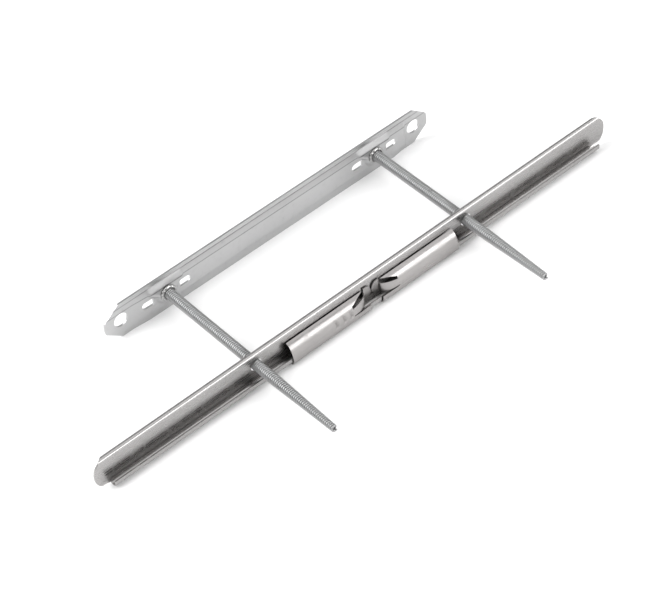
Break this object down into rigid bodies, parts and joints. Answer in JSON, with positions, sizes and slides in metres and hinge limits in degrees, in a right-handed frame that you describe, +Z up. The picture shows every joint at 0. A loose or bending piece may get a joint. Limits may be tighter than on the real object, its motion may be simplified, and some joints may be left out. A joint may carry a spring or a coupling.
{
  "type": "spring post filing mechanism",
  "caption": "Filing mechanism: base plate with flexible coil-spring posts, a J-section compressor bar that slides on them, and sleeves on the bar that trap the folded post ends",
  "frame": {"origin": "on the surface that the mechanism stands on, under the middle of its bounding box: halfway along the compressor bar, halfway from the back of the base plate to the tips of the posts", "axes": "X along the plate and the bar, -Y out of the plate along the posts, +Z up across the width of the plate"},
  "size_m": [0.194, 0.074, 0.0128],
  "materials": {
    "satin_nickel": "satin nickel plate on pressed steel",
    "bright_nickel": "bright nickel plate on rolled steel strip, with fine rolling lines",
    "sleeve_nickel": "bright nickel plate on thin bent sheet",
    "spring_steel": "nickel-plated spring wire, close wound",
    "rivet_steel": "plated turned steel"
  },
  "bodies": {
    "base": {"base_plate": "satin_nickel", "left_collar": "rivet_steel", "right_collar": "rivet_steel", "left_stud": "rivet_steel", "right_stud": "rivet_steel", "left_post_root": "spring_steel", "right_post_root": "spring_steel"},
    "bar": {"compressor_bar": "bright_nickel"},
    "left_sleeve": {"left_sleeve": "sleeve_nickel"},
    "right_sleeve": {"right_sleeve": "sleeve_nickel"},
    "left_tip": {"left_post_tip": "spring_steel"},
    "right_tip": {"right_post_tip": "spring_steel"}
  },
  "joints": [
    {"name": "bar_slide", "type": "slide", "parent": "base", "child": "bar", "axis": [0, -1, 0], "range_m": [-0.0362, 0.031]},
    {"name": "left_sleeve_slide", "type": "slide", "parent": "bar", "child": "left_sleeve", "axis": [-1, 0, 0], "range_m": [0, 0.0085]},
    {"name": "right_sleeve_slide", "type": "slide", "parent": "bar", "child": "right_sleeve", "axis": [1, 0, 0], "range_m": [0, 0.0042]},
    {"name": "left_fold", "type": "hinge", "parent": "base", "child": "left_tip", "pos_m": [-0.04, -0.00605, 0.0067], "axis": [0, 0, -1], "range_deg": [-62, 90], "stiffness_Nm_per_rad": 0.02},
    {"name": "right_fold", "type": "hinge", "parent": "base", "child": "right_tip", "pos_m": [0.04, -0.00605, 0.0067], "axis": [0, 0, 1], "range_deg": [-50, 90], "stiffness_Nm_per_rad": 0.02}
  ]
}
